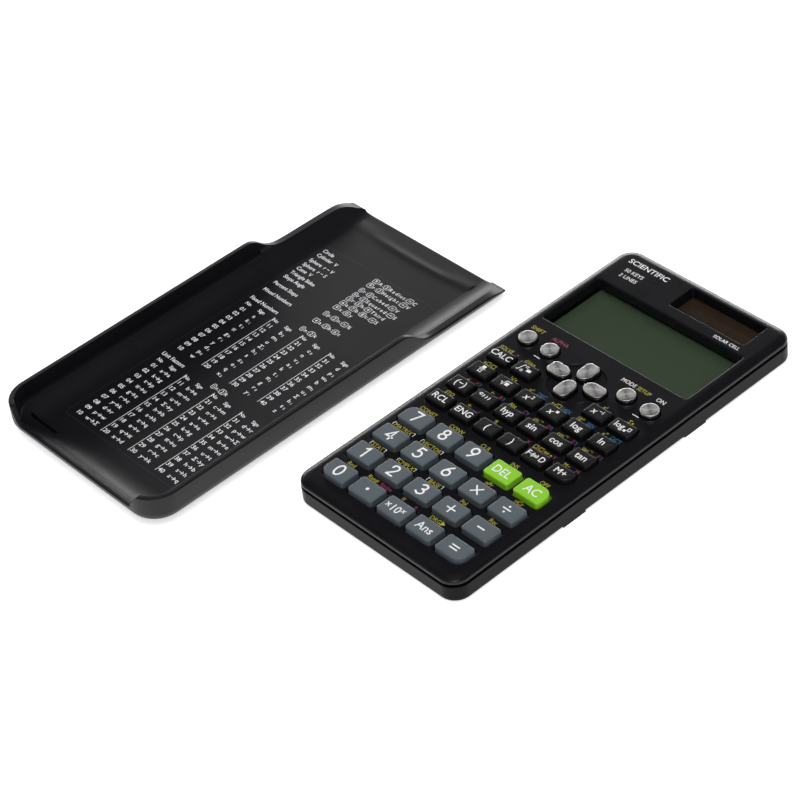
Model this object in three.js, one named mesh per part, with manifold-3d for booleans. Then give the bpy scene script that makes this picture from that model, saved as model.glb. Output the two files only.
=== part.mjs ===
// Scientific calculator with its slide-on hard cover lying beside it, inside up.
// Millimetres, +Z up. The origin is the centre of the calculator's flat base,
// +Y points to the display end and +X to the right of someone who reads the keys.
import * as THREE from 'three';
import { mergeVertices } from 'three/addons/utils/BufferGeometryUtils.js';
import Module from 'manifold-3d';

const wasm = await Module();
wasm.setup();

// Calculator case
const CASE_LENGTH = 161.5;
const CASE_WIDTH = 77;
const CASE_CORNER = 6.4;
const HALF_LENGTH = CASE_LENGTH / 2;
const HALF_WIDTH = CASE_WIDTH / 2;
const GAP = 0.3; // clearance between neighbouring pieces
const REAR_RIM_Z = 6.2; // top of the rear case's wall, the lower edge of the side groove
const REAR_FLOOR = 1.6;
const REAR_WALL = 1.5;
const REAR_EDGE_RADIUS = 1.2;
const LIP_Z = 7.4; // underside of the front case's lip, the upper edge of the side groove
const LIP_INSET = 0.25;
const FACE_Z = 9.8;
const FACE_THICKNESS = 1.6;
const FACE_UNDERSIDE = FACE_Z - FACE_THICKNESS;
const SHOULDER = 3.2; // width of the curve from the flat face down to the lip
const SKIRT_INSET = REAR_WALL + GAP;
const SKIRT_WALL = 1.4;
const SKIRT_BOTTOM = 4.6;
const CAVITY_INSET = SKIRT_INSET + SKIRT_WALL;
const LUG_SPANS = [[-32.5, -22.3], [25.0, 35.4]]; // along Y, on both lower edges
const LUG_HEIGHT = 1.7;

// Keys
const KEY_TRAVEL = 1.0;
const KEY_TOP_Z = 11.5;
const KEY_BOTTOM_Z = 7.1;
const FLANGE_TOP_Z = 7.9;
const FLANGE_MARGIN = 0.5; // rim under the face that keeps the key in
const OPENING_MARGIN = 0.35;
const KEY_ROUNDING = 0.35;
const NUMBER_KEY = { width: 12.0, height: 8.4, corner: 1.3, pitchX: 13.7, pitchY: 11.58, x: 0.28, y: -34.8 };
const FUNCTION_KEY = { width: 9.6, height: 6.4, corner: 1.1, pitchX: 11.32, pitchY: 9.62, x: 0, y: 6.4 };
const OUTER_CORNER = 3.6; // the rounder corner of the keys at the corners of their block
const ROUND_KEY_RADIUS = 3.4;
const CURSOR_KEY = { length: 8.6, width: 6.0, reachX: 8.2, reachY: 5.3, x: -0.1, y: 13.95 };
const ROUND_KEYS = {
  key_shift: [-28.8, 19.4],
  key_alpha: [-18.2, 19.4],
  key_mode: [17.9, 19.2],
  key_on: [29.1, 18.6],
};
const FUNCTION_KEYS = [
  ['key_calculate', 'key_integral', null, null, 'key_reciprocal', 'key_log_base'],
  ['key_fraction', 'key_square_root', 'key_square', 'key_power', 'key_log', 'key_natural_log'],
  ['key_negative', 'key_degrees', 'key_hyperbolic', 'key_sine', 'key_cosine', 'key_tangent'],
  [
    'key_recall', 'key_engineering', 'key_open_bracket', 'key_close_bracket', 'key_decimal_swap',
    'key_memory_add',
  ],
];
const NUMBER_KEYS = [
  ['key_7', 'key_8', 'key_9', 'key_delete', 'key_all_clear'],
  ['key_4', 'key_5', 'key_6', 'key_multiply', 'key_divide'],
  ['key_1', 'key_2', 'key_3', 'key_add', 'key_subtract'],
  ['key_0', 'key_decimal_point', 'key_exponent', 'key_answer', 'key_equals'],
];
// corners in the order near right, far right, far left, near left
const ROUNDER_CORNERS = {
  key_0: [3], key_equals: [0], key_all_clear: [1], key_7: [2], key_memory_add: [0],
};

// Display, solar cell and what lies inside
const DISPLAY_OPENING = { x0: -34.1, x1: 33.5, y0: 31.5, y1: 59.9 };
const SOLAR_OPENING = { x0: -5.0, x1: 29.3, y0: 64.7, y1: 76.9 };
const WELL_WALL = 1.2;
const WELL_BOTTOM = 5.6;
const WINDOW_THICKNESS = 0.9;
const WINDOW_OVERLAP = 0.9; // how far the window reaches under the well's walls
const LCD = { x0: -33.6, x1: 33.0, y0: 27.6, y1: 60.6, z0: 2.3, z1: 4.1 };
const SOLAR_CELL_THICKNESS = 1.1;
const SOLAR_OVERLAP = 0.5;
const BOARD = { x0: -34.6, x1: 34.6, y0: -76.5, y1: 25.2, z0: 2.0, z1: 3.3, corner: 5.5 };
const MAT = { x0: -34.6, x1: 34.6, y0: -76.0, y1: 24.0, z0: 3.6, z1: 4.4, corner: 5.0 };
const DOME_TOP_Z = KEY_BOTTOM_Z - KEY_TRAVEL - 0.4;
const DOME_RADIUS = 2.2;
const RIBBON = { halfWidth: 24, thickness: 0.25, y0: 24.4, y1: 29.2 };
const BUTTON_CELL = { x: -20, y: 70.4, radius: 5.8, height: 5.4, z: REAR_FLOOR + GAP };
const CELL_RING_WALL = 1.0;
const CELL_RING_TOP = 4.6;
const POST_RADIUS = 1.35;
const POST_BOTTOM = 2.0;
const POSTS = [[-31, 25.8], [31, 25.8], [-30.6, -28.1], [30.6, -28.1], [-20.1, -75.95], [20.7, -75.95]];
const SCREW_HOLE_RADIUS = 1.0;
const SCREW_HEAD_RADIUS = 1.9;
const SCREW_HEAD_DEPTH = 0.9;

// Hard cover: a tray that is open at its far end, with its outside on the table
const COVER = { x: -102.4, width: 85.5, yNear: -123.85, yFar: 40.15, height: 12.3 };
const COVER_NEAR_CORNER = 11.2;
const COVER_FAR_CORNER = 4;
const COVER_EDGE = { inset: 7.2, height: 5.6 }; // the wide curve from the walls to the underside
const COVER_FLOOR = 1.6;
const COVER_WALL = 2.0;
const COVER_RAIL_Z = 5.3; // ledge along both walls that runs in the case's side groove
const COVER_RAIL = 1.0;
const NEAR_WALL_HEIGHT = 6.0;
const NEAR_WALL_STEP = [30, 34.8]; // half widths where the near wall's step starts and ends
const SIDE_PROFILE = [ // height of the side walls along Y, from the full height to the low far lip
  [-10.0, 12.31], [-8.4, 12.1], [-6.2, 10.9], [-3.2, 8.2], [-0.8, 6.5], [2.2, 5.4],
  [30.0, 5.2], [34.5, 4.6], [37.4, 3.5], [41.0, 1.9],
];
const COVER_SLOT = { x0: -138.6, x1: -124.4, y0: -115.9, y1: -114.5 };

const material = (color, roughness, metalness = 0) => (
  new THREE.MeshStandardMaterial({ color, roughness, metalness })
);
const MATERIALS = {
  case: material(0x232326, 0.45),
  cover: material(0x202023, 0.4),
  blackKey: material(0x1c1c1f, 0.4),
  greyKey: material(0x59616a, 0.45),
  greenKey: material(0x86c02c, 0.4),
  metalCap: material(0xc9c9c9, 0.3, 1),
  window: material(0xdfe4e2, 0.05),
  lcd: material(0x3b4438, 0.35),
  solar: material(0x2c241e, 0.2),
  board: material(0x1f5a3a, 0.6),
  rubber: material(0xbfc3c6, 0.8),
  steel: material(0xb9bcbf, 0.3, 1),
  ribbon: material(0xc0762c, 0.5),
};

// ---- geometry helpers ----

// Counter-clockwise outline of a box with one radius for each corner,
// in the order near right, far right, far left, near left.
function roundedOutline(box, radii, segments) {
  const corners = [
    [box.x1, box.y0, -1, 1, -Math.PI / 2],
    [box.x1, box.y1, -1, -1, 0],
    [box.x0, box.y1, 1, -1, Math.PI / 2],
    [box.x0, box.y0, 1, 1, Math.PI],
  ];
  return corners.flatMap(([x, y, sx, sy, start], i) => {
    const radius = radii[i];
    return Array.from({ length: segments + 1 }, (_, k) => {
      const angle = start + (Math.PI / 2) * (k / segments);
      return [x + sx * radius + radius * Math.cos(angle), y + sy * radius + radius * Math.sin(angle)];
    });
  });
}

const grownBox = (box, margin) => ({
  x0: box.x0 - margin, x1: box.x1 + margin, y0: box.y0 - margin, y1: box.y1 + margin,
});

// The rounded outline moved inwards, with its corners still concentric.
function insetOutline(box, radii, inset, segments) {
  const smaller = radii.map((radius) => Math.max(radius - inset, 0.4));
  return roundedOutline(grownBox(box, -inset), smaller, segments);
}

// Every edge of a convex counter-clockwise outline moved outwards by a distance.
function offsetOutline(points, distance) {
  const count = points.length;
  const edges = points.map(([x, y], i) => {
    const [nextX, nextY] = points[(i + 1) % count];
    const length = Math.hypot(nextX - x, nextY - y);
    const normal = [(nextY - y) / length, (x - nextX) / length];
    return { normal, reach: normal[0] * x + normal[1] * y + distance };
  });
  return points.map((_, i) => {
    const a = edges[(i + count - 1) % count];
    const b = edges[i];
    const det = a.normal[0] * b.normal[1] - a.normal[1] * b.normal[0];
    return [
      (a.reach * b.normal[1] - b.reach * a.normal[1]) / det,
      (a.normal[0] * b.reach - b.normal[0] * a.reach) / det,
    ];
  });
}

// Closed body through outlines of equal length, given from the bottom up as [outline, z].
function loft(levels) {
  const count = levels[0][0].length;
  const positions = levels.flatMap(([outline, z]) => outline.flatMap(([x, y]) => [x, y, z]));
  const indices = [];
  for (let level = 0; level < levels.length - 1; level += 1) {
    for (let i = 0; i < count; i += 1) {
      const a = level * count + i;
      const b = level * count + (i + 1) % count;
      indices.push(a, b, b + count, a, b + count, a + count);
    }
  }
  const top = (levels.length - 1) * count;
  for (let i = 1; i < count - 1; i += 1) {
    indices.push(0, i + 1, i);
    indices.push(top, top + i, top + i + 1);
  }
  const geometry = new THREE.BufferGeometry();
  geometry.setAttribute('position', new THREE.Float32BufferAttribute(positions, 3));
  geometry.setIndex(indices);
  geometry.computeVertexNormals();
  return geometry;
}

const prism = (outline, z0, z1) => loft([[outline, z0], [outline, z1]]);

function block(x0, x1, y0, y1, z0, z1) {
  const geometry = new THREE.BoxGeometry(x1 - x0, y1 - y0, z1 - z0);
  return geometry.translate((x0 + x1) / 2, (y0 + y1) / 2, (z0 + z1) / 2);
}

function rod(x, y, radius, z0, z1, segments = 10) {
  const geometry = new THREE.CylinderGeometry(radius, radius, z1 - z0, segments);
  return geometry.rotateX(Math.PI / 2).translate(x, y, (z0 + z1) / 2);
}

// A profile in the YZ plane extruded along X.
function barAlongX(profile, x0, x1) {
  const shape = new THREE.Shape(profile.map(([y, z]) => new THREE.Vector2(y, z)));
  const geometry = new THREE.ExtrudeGeometry(shape, { depth: x1 - x0, bevelEnabled: false });
  const toYZ = new THREE.Matrix4().set(0, 0, 1, x0, 1, 0, 0, 0, 0, 1, 0, 0, 0, 0, 0, 1);
  return geometry.applyMatrix4(toYZ);
}

// A profile in the XZ plane extruded along Y.
function barAlongY(profile, y0, y1) {
  const shape = new THREE.Shape(profile.map(([x, z]) => new THREE.Vector2(x, z)));
  const geometry = new THREE.ExtrudeGeometry(shape, { depth: y1 - y0, bevelEnabled: false });
  return geometry.rotateX(Math.PI / 2).translate(0, y1, 0);
}

function solid(source) {
  const geometry = source.clone();
  geometry.deleteAttribute('normal');
  geometry.deleteAttribute('uv');
  const merged = mergeVertices(geometry, 1e-5);
  return new wasm.Manifold(new wasm.Mesh({
    numProp: 3,
    vertProperties: new Float32Array(merged.attributes.position.array),
    triVerts: new Uint32Array(merged.index.array),
  }));
}

const joined = (geometries) => geometries.map(solid).reduce((a, b) => a.add(b));

function cut(base, geometries) {
  return geometries.map(solid).reduce((body, tool) => body.subtract(tool), base);
}

function geometryOf(manifold) {
  const mesh = manifold.getMesh();
  const geometry = new THREE.BufferGeometry();
  geometry.setAttribute('position', new THREE.Float32BufferAttribute(mesh.vertProperties, 3));
  geometry.setIndex(new THREE.BufferAttribute(new Uint32Array(mesh.triVerts), 1));
  geometry.computeVertexNormals();
  return geometry;
}

const group = new THREE.Group();

function addPart(name, shape, surface) {
  const geometry = shape.isBufferGeometry ? shape : geometryOf(shape);
  const mesh = new THREE.Mesh(geometry, surface);
  mesh.name = name;
  group.add(mesh);
}

// ---- keys: one record each, with the outline that its cap, opening and dome share ----

function rectangleOutline(name, x, y, size) {
  const box = {
    x0: x - size.width / 2, x1: x + size.width / 2, y0: y - size.height / 2, y1: y + size.height / 2,
  };
  const rounder = ROUNDER_CORNERS[name] ?? [];
  const radii = [0, 1, 2, 3].map((corner) => (rounder.includes(corner) ? OUTER_CORNER : size.corner));
  return roundedOutline(box, radii, 2);
}

function circleOutline(x, y, radius, count) {
  return Array.from({ length: count }, (_, i) => {
    const angle = (2 * Math.PI * i) / count;
    return [x + radius * Math.cos(angle), y + radius * Math.sin(angle)];
  });
}

// A cap with a cut outer end and a narrower inner end, pointing from the cluster's centre.
function cursorOutline(x, y, quarterTurns) {
  const half = CURSOR_KEY.width / 2;
  const end = CURSOR_KEY.length / 2;
  const right = [
    [half * 0.3, -end], [half * 0.74, -end * 0.76], [half, -end * 0.33],
    [half, end * 0.68], [half * 0.6, end],
  ];
  const left = right.map(([px, py]) => [-px, py]).reverse();
  const angle = (Math.PI / 2) * quarterTurns;
  return [...right, ...left].map(([px, py]) => [
    x + px * Math.cos(angle) - py * Math.sin(angle),
    y + px * Math.sin(angle) + py * Math.cos(angle),
  ]);
}

function gridKeys(names, size, surfaceOf) {
  const keys = [];
  names.forEach((row, r) => row.forEach((name, c) => {
    if (!name) return;
    const x = size.x + (c - (row.length - 1) / 2) * size.pitchX;
    const y = size.y - r * size.pitchY;
    keys.push({ name, x, y, outline: rectangleOutline(name, x, y, size), surface: surfaceOf(name) });
  }));
  return keys;
}

function roundKeys() {
  return Object.entries(ROUND_KEYS).map(([name, [x, y]]) => ({
    name, x, y, outline: circleOutline(x, y, ROUND_KEY_RADIUS, 16), surface: MATERIALS.metalCap,
  }));
}

function cursorKeys() {
  const places = [
    ['cursor_up', 0, 1, 0], ['cursor_left', -1, 0, 1], ['cursor_down', 0, -1, 2], ['cursor_right', 1, 0, 3],
  ];
  return places.map(([name, alongX, alongY, turns]) => {
    const x = CURSOR_KEY.x + alongX * CURSOR_KEY.reachX;
    const y = CURSOR_KEY.y + alongY * CURSOR_KEY.reachY;
    return { name, x, y, outline: cursorOutline(x, y, turns), surface: MATERIALS.metalCap };
  });
}

const GREEN_KEYS = ['key_delete', 'key_all_clear'];
const numberSurface = (name) => (GREEN_KEYS.includes(name) ? MATERIALS.greenKey : MATERIALS.greyKey);
const KEYS = [
  ...roundKeys(),
  ...cursorKeys(),
  ...gridKeys(FUNCTION_KEYS, FUNCTION_KEY, () => MATERIALS.blackKey),
  ...gridKeys(NUMBER_KEYS, NUMBER_KEY, numberSurface),
];

function keyCap({ outline }) {
  const flange = offsetOutline(outline, FLANGE_MARGIN);
  return loft([
    [flange, KEY_BOTTOM_Z],
    [flange, FLANGE_TOP_Z],
    [outline, FLANGE_TOP_Z],
    [outline, KEY_TOP_Z - KEY_ROUNDING],
    [offsetOutline(outline, -KEY_ROUNDING), KEY_TOP_Z],
  ]);
}

// ---- case ----

const CASE_BOX = { x0: -HALF_WIDTH, x1: HALF_WIDTH, y0: -HALF_LENGTH, y1: HALF_LENGTH };
const CASE_RADII = [CASE_CORNER, CASE_CORNER, CASE_CORNER, CASE_CORNER];
const caseOutline = (inset) => insetOutline(CASE_BOX, CASE_RADII, inset, 4);

function rearCase() {
  const r = REAR_EDGE_RADIUS;
  const shell = loft([
    [caseOutline(r), 0],
    [caseOutline(r * 0.3), r * 0.3],
    [caseOutline(0), r],
    [caseOutline(0), REAR_RIM_Z],
  ]);
  const cavity = prism(caseOutline(REAR_WALL), REAR_FLOOR, REAR_RIM_Z + 1);
  const ringInner = BUTTON_CELL.radius + GAP;
  const ringOutline = (radius) => circleOutline(BUTTON_CELL.x, BUTTON_CELL.y, radius, 20);
  const ring = prism(ringOutline(ringInner + CELL_RING_WALL), REAR_FLOOR - 0.2, CELL_RING_TOP);
  const ringHole = prism(ringOutline(ringInner), REAR_FLOOR, CELL_RING_TOP + 1);
  const screwHoles = POSTS.flatMap(([x, y]) => [
    rod(x, y, SCREW_HOLE_RADIUS, -1, REAR_FLOOR + 1),
    rod(x, y, SCREW_HEAD_RADIUS, -1, SCREW_HEAD_DEPTH, 14),
  ]);
  let body = cut(solid(shell), [cavity]).add(solid(ring));
  body = cut(body, [ringHole, ...screwHoles]);
  for (const [y0, y1] of LUG_SPANS) {
    for (const side of [-1, 1]) {
      const outer = side * HALF_WIDTH;
      const inner = side * (HALF_WIDTH - REAR_EDGE_RADIUS - 0.5);
      body = body.add(solid(block(Math.min(inner, outer), Math.max(inner, outer), y0, y1, 0, LUG_HEIGHT)));
    }
  }
  return body;
}

function frontCase() {
  const face = loft([
    [caseOutline(LIP_INSET), LIP_Z],
    [caseOutline(LIP_INSET), LIP_Z + 0.6],
    [caseOutline(LIP_INSET + SHOULDER * 0.05), LIP_Z + 1.1],
    [caseOutline(LIP_INSET + SHOULDER * 0.24), FACE_Z - 0.6],
    [caseOutline(LIP_INSET + SHOULDER * 0.51), FACE_Z - 0.2],
    [caseOutline(LIP_INSET + SHOULDER), FACE_Z],
  ]);
  const skirt = prism(caseOutline(SKIRT_INSET), SKIRT_BOTTOM, LIP_Z + 0.2);
  const cavity = prism(caseOutline(CAVITY_INSET), SKIRT_BOTTOM - 1, FACE_UNDERSIDE);
  const wells = [DISPLAY_OPENING, SOLAR_OPENING].map((opening) => {
    const outer = grownBox(opening, WELL_WALL);
    return block(outer.x0, outer.x1, outer.y0, outer.y1, WELL_BOTTOM, FACE_UNDERSIDE + 0.5);
  });
  const posts = POSTS.map(([x, y]) => rod(x, y, POST_RADIUS, POST_BOTTOM, FACE_UNDERSIDE + 0.5));
  const displayHoles = [DISPLAY_OPENING, SOLAR_OPENING].map((opening) => (
    prism(roundedOutline(opening, [1.2, 0.6, 0.6, 0.6], 2), WELL_BOTTOM - 1, FACE_Z + 1)
  ));
  const keyHoles = KEYS.map(({ outline }) => (
    prism(offsetOutline(outline, OPENING_MARGIN), FACE_UNDERSIDE - 0.5, FACE_Z + 1)
  ));
  const shell = cut(joined([face, skirt]), [cavity]);
  const withFittings = [...wells, ...posts].map(solid).reduce((a, b) => a.add(b), shell);
  return cut(withFittings, [...displayHoles, ...keyHoles]);
}

// ---- inside ----

function displayWindow() {
  const box = grownBox(DISPLAY_OPENING, WINDOW_OVERLAP);
  const top = WELL_BOTTOM - GAP;
  return block(box.x0, box.x1, box.y0, box.y1, top - WINDOW_THICKNESS, top);
}

function solarCell() {
  const { x0, x1, y0, y1 } = grownBox(SOLAR_OPENING, SOLAR_OVERLAP);
  const top = WELL_BOTTOM - GAP;
  const farEdge = Math.min(y1, HALF_LENGTH - CAVITY_INSET - GAP);
  return block(x0, x1, y0, farEdge, top - SOLAR_CELL_THICKNESS, top);
}

const postHoles = (z0, z1) => POSTS.map(([x, y]) => rod(x, y, POST_RADIUS + 0.4, z0 - 1, z1 + 1));

function circuitBoard() {
  const outline = roundedOutline(BOARD, Array(4).fill(BOARD.corner), 3);
  return cut(solid(prism(outline, BOARD.z0, BOARD.z1)), postHoles(BOARD.z0, BOARD.z1));
}

function rubberKeyMat() {
  const outline = roundedOutline(MAT, Array(4).fill(MAT.corner), 3);
  const domes = KEYS.map(({ x, y }) => loft([
    [circleOutline(x, y, DOME_RADIUS, 8), MAT.z0 + 0.2],
    [circleOutline(x, y, DOME_RADIUS, 8), MAT.z1],
    [circleOutline(x, y, DOME_RADIUS * 0.7, 8), DOME_TOP_Z],
  ]));
  const sheet = [prism(outline, MAT.z0, MAT.z1), ...domes];
  return cut(joined(sheet), postHoles(MAT.z0, MAT.z1));
}

function lcdRibbon() {
  const low = BOARD.z1 + GAP;
  const high = LCD.z1 + GAP;
  const bend = (RIBBON.y0 + LCD.y0) / 2;
  const lower = [[RIBBON.y0, low], [bend - 0.4, low], [bend + 0.4, high], [RIBBON.y1, high]];
  const upper = lower.map(([y, z]) => [y, z + RIBBON.thickness]).reverse();
  return barAlongX([...lower, ...upper], -RIBBON.halfWidth, RIBBON.halfWidth);
}

function buttonCell() {
  const { x, y, radius, height, z } = BUTTON_CELL;
  return loft([
    [circleOutline(x, y, radius, 20), z],
    [circleOutline(x, y, radius, 20), z + height - 0.8],
    [circleOutline(x, y, radius * 0.82, 20), z + height - 0.8],
    [circleOutline(x, y, radius * 0.82, 20), z + height],
  ]);
}

// ---- cover ----

const COVER_BOX = {
  x0: COVER.x - COVER.width / 2, x1: COVER.x + COVER.width / 2, y0: COVER.yNear, y1: COVER.yFar,
};
const COVER_RADII = [COVER_NEAR_CORNER, COVER_FAR_CORNER, COVER_FAR_CORNER, COVER_NEAR_CORNER];

function coverOutside() {
  const bend = [0, 22.5, 45, 67.5, 90].map((degrees) => {
    const angle = (degrees * Math.PI) / 180;
    return [COVER_EDGE.inset * (1 - Math.sin(angle)), COVER_EDGE.height * (1 - Math.cos(angle))];
  });
  // the far end has no edge radius: there the tray is cut off square
  const outline = (inset) => insetOutline({ ...COVER_BOX, y1: COVER_BOX.y1 + inset }, COVER_RADII, inset, 5);
  return loft([
    ...bend.map(([inset, z]) => [outline(inset), z]),
    [outline(0), COVER.height - 0.5],
    [outline(0.5), COVER.height],
  ]);
}

function coverInside() {
  // inset of the inner wall against height: a wide curve up to the rail, then the upright wall
  const section = [
    [12.6, COVER_FLOOR], [9.2, 2.0], [5.8, 3.2], [COVER_WALL + COVER_RAIL, COVER_RAIL_Z - 0.1],
    [COVER_WALL, COVER_RAIL_Z], [COVER_WALL, COVER.height + 2],
  ];
  const openEnd = COVER_BOX.y1 + 20;
  return loft(section.map(([inset, z]) => [
    insetOutline({ ...COVER_BOX, y1: openEnd + inset }, COVER_RADII, inset, 5), z,
  ]));
}

function sideCutter() {
  const clear = COVER.height + 5;
  const farEnd = COVER_BOX.y1 + 5;
  const start = SIDE_PROFILE[0];
  const finish = SIDE_PROFILE.at(-1);
  const profile = [...SIDE_PROFILE, [farEnd, finish[1]], [farEnd, clear], [start[0], clear]];
  return barAlongX(profile, COVER_BOX.x0 - 5, COVER_BOX.x1 + 5);
}

function nearWallCutter() {
  const [low, high] = NEAR_WALL_STEP;
  const middle = (low + high) / 2;
  const halfHeight = (NEAR_WALL_HEIGHT + COVER.height) / 2;
  const right = [
    [low, NEAR_WALL_HEIGHT], [middle - 0.6, NEAR_WALL_HEIGHT + 1], [middle, halfHeight],
    [middle + 0.6, COVER.height - 1], [high, COVER.height + 0.01], [high, COVER.height + 5],
  ];
  const left = right.map(([x, z]) => [-x, z]).reverse();
  const profile = [...right, ...left].map(([x, z]) => [COVER.x + x, z]);
  return barAlongY(profile, COVER_BOX.y0 - 5, COVER_BOX.y0 + COVER_NEAR_CORNER - 3);
}

function slideCover() {
  const slot = block(COVER_SLOT.x0, COVER_SLOT.x1, COVER_SLOT.y0, COVER_SLOT.y1, -1, COVER_RAIL_Z);
  return cut(solid(coverOutside()), [coverInside(), sideCutter(), nearWallCutter(), slot]);
}

// ---- assembly ----

addPart('rear_case', rearCase(), MATERIALS.case);
addPart('front_case', frontCase(), MATERIALS.case);
addPart('display_window', displayWindow(), MATERIALS.window);
addPart('lcd_panel', block(LCD.x0, LCD.x1, LCD.y0, LCD.y1, LCD.z0, LCD.z1), MATERIALS.lcd);
addPart('lcd_ribbon', lcdRibbon(), MATERIALS.ribbon);
addPart('solar_cell', solarCell(), MATERIALS.solar);
addPart('circuit_board', circuitBoard(), MATERIALS.board);
addPart('rubber_key_mat', rubberKeyMat(), MATERIALS.rubber);
addPart('button_cell', buttonCell(), MATERIALS.steel);
addPart('slide_cover', slideCover(), MATERIALS.cover);
for (const key of KEYS) {
  addPart(key.name, keyCap(key), key.surface);
}

export default group;
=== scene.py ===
"""Looks for the scientific calculator and its slide-on cover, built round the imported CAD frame.

Lengths in this file are millimetres until piece() scales them: +Z up, +Y towards the display
end, the origin at the centre of the calculator's base.
"""
import math
from collections import namedtuple

import bmesh
import bpy
from mathutils import Matrix, Vector
from mathutils.geometry import delaunay_2d_cdt


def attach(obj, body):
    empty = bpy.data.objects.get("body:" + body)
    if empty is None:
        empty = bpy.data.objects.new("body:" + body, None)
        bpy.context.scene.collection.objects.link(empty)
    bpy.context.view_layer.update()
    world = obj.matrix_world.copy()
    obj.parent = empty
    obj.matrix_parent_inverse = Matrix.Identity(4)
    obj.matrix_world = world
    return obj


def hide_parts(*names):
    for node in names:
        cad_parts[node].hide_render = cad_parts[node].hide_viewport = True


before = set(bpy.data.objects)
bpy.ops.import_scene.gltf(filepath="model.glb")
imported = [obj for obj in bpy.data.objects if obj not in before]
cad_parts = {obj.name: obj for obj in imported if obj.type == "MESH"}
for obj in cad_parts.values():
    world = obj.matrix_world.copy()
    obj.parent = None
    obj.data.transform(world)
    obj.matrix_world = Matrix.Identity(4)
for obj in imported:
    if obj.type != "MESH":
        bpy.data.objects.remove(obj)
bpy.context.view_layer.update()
MM = 0.001
GRAIN_DEPTH = 0.04  # of the moulded plastic's surface

# ---- sizes shared with the CAD

CASE_W, CASE_L, CASE_R = 77.0, 161.5, 6.4
FACE_Z, PLATE_UNDER = 9.8, 8.2
LIP_Z, LIP_INSET = 7.4, 0.08
# the front case's shoulder, from the lip to the flat face: inset from the lip, height
SHOULDER = ((0.0, 8.0), (0.04, 8.2), (0.14, 8.42), (0.36, 8.74), (0.8, 9.08), (1.4, 9.38), (2.1, 9.6),
            (2.8, 9.74), (3.37, FACE_Z))
REAR_RIM, REAR_FLOOR, REAR_WALL, REAR_EDGE = 6.2, 1.6, 1.5, 1.2
SKIRT_INSET, CAVITY_INSET, SKIRT_BOTTOM = 1.8, 3.2, 4.6
LUGS = ((-32.5, -22.3), (25.0, 35.4))
DISPLAY = (-34.1, 33.5, 31.5, 59.9)
SOLAR = (-5.0, 29.3, 64.7, 76.9)
LCD = (-33.6, 33.0, 27.6, 60.6)
SOLAR_CELL = (SOLAR[0] - 0.5, SOLAR[1] + 0.5, SOLAR[2] - 0.5, 77.25)
WINDOW = (DISPLAY[0] - 0.9, DISPLAY[1] + 0.9, DISPLAY[2] - 0.9, DISPLAY[3] + 0.9)
WELL_BOTTOM, WELL_WALL, GAP = 5.6, 1.2, 0.3
KEY_BOTTOM, FLANGE_TOP, KEY_TOP = 7.1, 7.9, 11.5
POSTS = ((-31, 25.8), (31, 25.8), (-30.6, -28.1), (30.6, -28.1), (-20.1, -75.95), (20.7, -75.95))

NUMBER_SIZE = (12.0, 8.4)
FUNCTION_SIZE = (9.6, 6.4)
ROUND_R = 3.4
CURSOR_CENTRE = (-0.1, 13.95)
CURSOR_REACH = (8.2, 5.3)
CURSOR_HALF = (3.0, 4.3)
DISH_R, DISH_DEPTH = 10.45, 0.55
HOLE_EDGE = 0.16  # rounding of the key openings

# rows of keys from the far row to the near one: a name stands for "key_" + name, as it does in
# the tables of words further down, and "-" is a gap
NUMBER_KEYS = ("7 8 9 delete all_clear", "4 5 6 multiply divide", "1 2 3 add subtract",
               "0 decimal_point exponent answer equals")
NUMBER_PITCH, NUMBER_START = (13.7, 11.58), (0.28, -34.8)
FUNCTION_KEYS = (
    "calculate integral - - reciprocal log_base",
    "fraction square_root square power log natural_log",
    "negative degrees hyperbolic sine cosine tangent",
    "recall engineering open_bracket close_bracket decimal_swap memory_add",
)
FUNCTION_PITCH, FUNCTION_START = (11.32, 9.62), (0.0, 6.4)
ROUND_KEYS = {"key_shift": (-28.8, 19.4), "key_alpha": (-18.2, 19.4),
              "key_mode": (17.9, 19.2), "key_on": (29.1, 18.6)}
CURSOR_KEYS = {"cursor_up": (0, 1, 0), "cursor_left": (-1, 0, 1),
               "cursor_down": (0, -1, 2), "cursor_right": (1, 0, 3)}
# corners in the order near right, far right, far left, near left
ROUND_CORNERS = {"key_0": (3,), "key_equals": (0,), "key_all_clear": (1,), "key_7": (2,),
                 "key_memory_add": (0,)}

COVER_X0, COVER_X1, COVER_Y0, COVER_Y1 = -145.15, -59.65, -123.85, 40.15
COVER_H, COVER_R, COVER_FLOOR, COVER_BASIN = 12.3, 11.2, 1.6, 12.6
COVER_BEND = (7.2, 5.6)  # the curve from the walls to the underside: its inset and its height
COVER_SLOT = (-138.6, -124.4, -115.9, -114.5)
PRINT_Z = COVER_FLOOR - 0.008


# ---- materials

def new_material(name, settings=None):
    """A material with its nodes, links and shader; settings are values of the shader's sockets."""
    mat = bpy.data.materials.new(name)
    mat.use_nodes = True
    nodes = mat.node_tree.nodes
    shader = nodes["Principled BSDF"]
    for socket, value in (settings or {}).items():
        shader.inputs[socket].default_value = value
    return mat, nodes, mat.node_tree.links, shader


def noise(nodes, links, scale, detail):
    coords = nodes.new("ShaderNodeTexCoord")
    tex = nodes.new("ShaderNodeTexNoise")
    tex.inputs["Scale"].default_value = scale
    tex.inputs["Detail"].default_value = detail
    links.new(coords.outputs["Object"], tex.inputs["Vector"])
    return tex.outputs["Fac"]


def maths(nodes, links, operation, first, second):
    """A Math node; its second input is another node's output or a number."""
    node = nodes.new("ShaderNodeMath")
    node.operation = operation
    links.new(first, node.inputs[0])
    if isinstance(second, float):
        node.inputs[1].default_value = second
    else:
        links.new(second, node.inputs[1])
    return node.outputs[0]


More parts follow.
